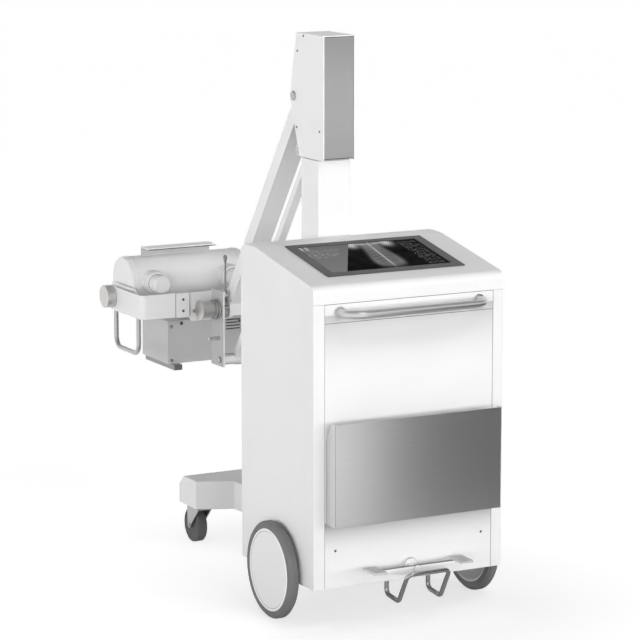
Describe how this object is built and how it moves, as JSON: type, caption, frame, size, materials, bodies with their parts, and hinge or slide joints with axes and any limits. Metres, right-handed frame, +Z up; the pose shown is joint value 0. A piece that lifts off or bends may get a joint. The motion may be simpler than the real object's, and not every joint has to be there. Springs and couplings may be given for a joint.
{
  "type": "mobile x-ray machine",
  "caption": "Mobile x-ray machine: white battery cabinet with console display and detector pocket, rear wheels, casters, column with balanced arm, tube head and collimator.",
  "frame": {"origin": "on the floor, in the middle of the footprint in the transport position", "axes": "+X to the operator's right, +Y from the push handle towards the tube head, +Z up"},
  "size_m": [0.6314, 1.4732, 1.494],
  "materials": {
    "white_enamel": "satin",
    "grey_enamel": "satin",
    "brushed_steel": "brushed",
    "bright_steel": "polished",
    "dark_screws": "satin",
    "machined_aluminium": "satin",
    "grey_rubber": "matte",
    "dark_caster_rubber": "matte",
    "monitor_plastic": "matte",
    "display_glass": "gloss",
    "clear_window": "clear",
    "battery_case": "matte"
  },
  "bodies": {
    "cart": {"cabinet_shell": "white_enamel", "console_top": "white_enamel", "front_fascia": "white_enamel", "front_panel": "white_enamel", "base_frame": "grey_enamel", "battery_pack": "battery_case", "generator": "grey_enamel", "mains_inlet": "monitor_plastic", "monitor": "monitor_plastic", "display": "display_glass", "push_handle": "brushed_steel", "detector_pocket": "brushed_steel", "tip_bar": "brushed_steel", "pedal_bearing": "white_enamel", "rear_axle": "bright_steel", "front_leg": "grey_enamel", "crossbar": "grey_enamel", "column": "white_enamel", "balance_spring": "battery_case", "head_cover_left": "white_enamel", "head_cover_right": "white_enamel", "head_front_cover": "brushed_steel", "head_top_cover": "white_enamel", "head_frame": "machined_aluminium", "pivot_pins": "bright_steel", "cover_screws": "dark_screws"},
    "rear_wheel_left": {"rear_tyre_left": "grey_rubber", "rear_disc_left": "white_enamel"},
    "rear_wheel_right": {"rear_tyre_right": "grey_rubber", "rear_disc_right": "white_enamel"},
    "caster_left": {"caster_fork_left": "bright_steel"},
    "caster_right": {"caster_fork_right": "bright_steel"},
    "caster_left_roll": {"caster_wheel_left": "dark_caster_rubber"},
    "caster_right_roll": {"caster_wheel_right": "dark_caster_rubber"},
    "pedal": {"brake_pedal": "white_enamel", "pedal_pads": "grey_rubber"},
    "arm": {"swing_arm": "white_enamel", "arm_end_block": "white_enamel"},
    "link": {"link_bar": "white_enamel"},
    "bracket": {"fork_bracket": "white_enamel", "friction_spindle": "bright_steel", "link_rod": "bright_steel", "fork_band": "white_enamel", "clamp_plates": "white_enamel"},
    "lock_knob": {"lock_knob": "brushed_steel"},
    "index_pin": {"index_plunger": "brushed_steel"},
    "lever": {"release_lever": "bright_steel"},
    "tube_head": {"tube_housing": "white_enamel", "tube_end_caps": "white_enamel", "voltage_ports": "white_enamel", "tube_carrier": "white_enamel", "tube_grip": "brushed_steel", "top_bracket": "white_enamel"},
    "tilt_knob": {"tilt_knob": "brushed_steel"},
    "collimator": {"collimator_housing": "grey_enamel", "beam_window": "clear_window", "accessory_rails": "brushed_steel"},
    "shutter_knob_left": {"collimator_knob_left": "machined_aluminium"},
    "shutter_knob_right": {"collimator_knob_right": "machined_aluminium"},
    "lamp_switch": {"lamp_button": "monitor_plastic"}
  },
  "joints": [
    {"name": "rear_wheel_left_spin", "type": "hinge", "parent": "cart", "child": "rear_wheel_left", "pos_m": [-0.3157, -0.43841, 0.1284], "axis": [1, 0, 0], "continuous": true},
    {"name": "rear_wheel_right_spin", "type": "hinge", "parent": "cart", "child": "rear_wheel_right", "pos_m": [0.3157, -0.43841, 0.1284], "axis": [1, 0, 0], "continuous": true},
    {"name": "caster_left_swivel", "type": "hinge", "parent": "cart", "child": "caster_left", "pos_m": [-0.134, 0.35139, 0.112], "axis": [0, 0, 1], "continuous": true},
    {"name": "caster_right_swivel", "type": "hinge", "parent": "cart", "child": "caster_right", "pos_m": [0.134, 0.35139, 0.112], "axis": [0, 0, 1], "continuous": true},
    {"name": "caster_left_spin", "type": "hinge", "parent": "caster_left", "child": "caster_left_roll", "pos_m": [-0.134, 0.37739, 0.05], "axis": [1, 0, 0], "continuous": true},
    {"name": "caster_right_spin", "type": "hinge", "parent": "caster_right", "child": "caster_right_roll", "pos_m": [0.134, 0.37739, 0.05], "axis": [1, 0, 0], "continuous": true},
    {"name": "pedal_rock", "type": "hinge", "parent": "cart", "child": "pedal", "pos_m": [0, -0.62661, 0.147], "axis": [0, 1, 0], "range_deg": [-12, 12]},
    {"name": "arm_lift", "type": "hinge", "parent": "cart", "child": "arm", "pos_m": [0, -0.07361, 1.323], "axis": [1, 0, 0], "range_deg": [0, 95]},
    {"name": "link_swing", "type": "hinge", "parent": "cart", "child": "link", "pos_m": [0, -0.09161, 1.178], "axis": [1, 0, 0], "range_deg": [0, 95]},
    {"name": "bracket_level", "type": "hinge", "parent": "arm", "child": "bracket", "pos_m": [0, 0.39131, 0.67], "axis": [1, 0, 0], "range_deg": [-95, 0]},
    {"name": "lock_knob_turn", "type": "hinge", "parent": "bracket", "child": "lock_knob", "pos_m": [-0.055, 0.39131, 0.67], "axis": [1, 0, 0], "range_deg": [0, 180]},
    {"name": "index_pin_pull", "type": "slide", "parent": "bracket", "child": "index_pin", "axis": [-1, 0, 0], "range_m": [0, 0.008], "stiffness_N_per_m": 400, "springref_m": -0.004},
    {"name": "release_lever_pull", "type": "hinge", "parent": "bracket", "child": "lever", "pos_m": [-0.042, 0.36231, 0.72], "axis": [1, 0, 0], "range_deg": [0, 20], "stiffness_Nm_per_rad": 0.3, "springref_deg": -11.46},
    {"name": "tube_tilt", "type": "hinge", "parent": "bracket", "child": "tube_head", "pos_m": [-0.055, 0.63331, 0.689], "axis": [1, 0, 0], "range_deg": [-10, 90]},
    {"name": "tilt_knob_turn", "type": "hinge", "parent": "tube_head", "child": "tilt_knob", "pos_m": [-0.274, 0.63331, 0.689], "axis": [1, 0, 0], "range_deg": [0, 180]},
    {"name": "collimator_turn", "type": "hinge", "parent": "tube_head", "child": "collimator", "pos_m": [-0.019, 0.63331, 0.616], "axis": [0, 0, 1], "range_deg": [-90, 90]},
    {"name": "collimator_knob_left_turn", "type": "hinge", "parent": "collimator", "child": "shutter_knob_left", "pos_m": [-0.081, 0.72231, 0.554], "axis": [0, 1, 0], "range_deg": [-150, 150]},
    {"name": "collimator_knob_right_turn", "type": "hinge", "parent": "collimator", "child": "shutter_knob_right", "pos_m": [0.043, 0.72231, 0.554], "axis": [0, 1, 0], "range_deg": [-150, 150]},
    {"name": "lamp_button_press", "type": "slide", "parent": "collimator", "child": "lamp_switch", "axis": [0, -1, 0], "range_m": [0, 0.002], "stiffness_N_per_m": 300, "springref_m": -0.003}
  ],
  "couplings": [
    {"joint": "link_swing", "follows": "arm_lift", "ratio": 1},
    {"joint": "bracket_level", "follows": "arm_lift", "ratio": -1}
  ]
}
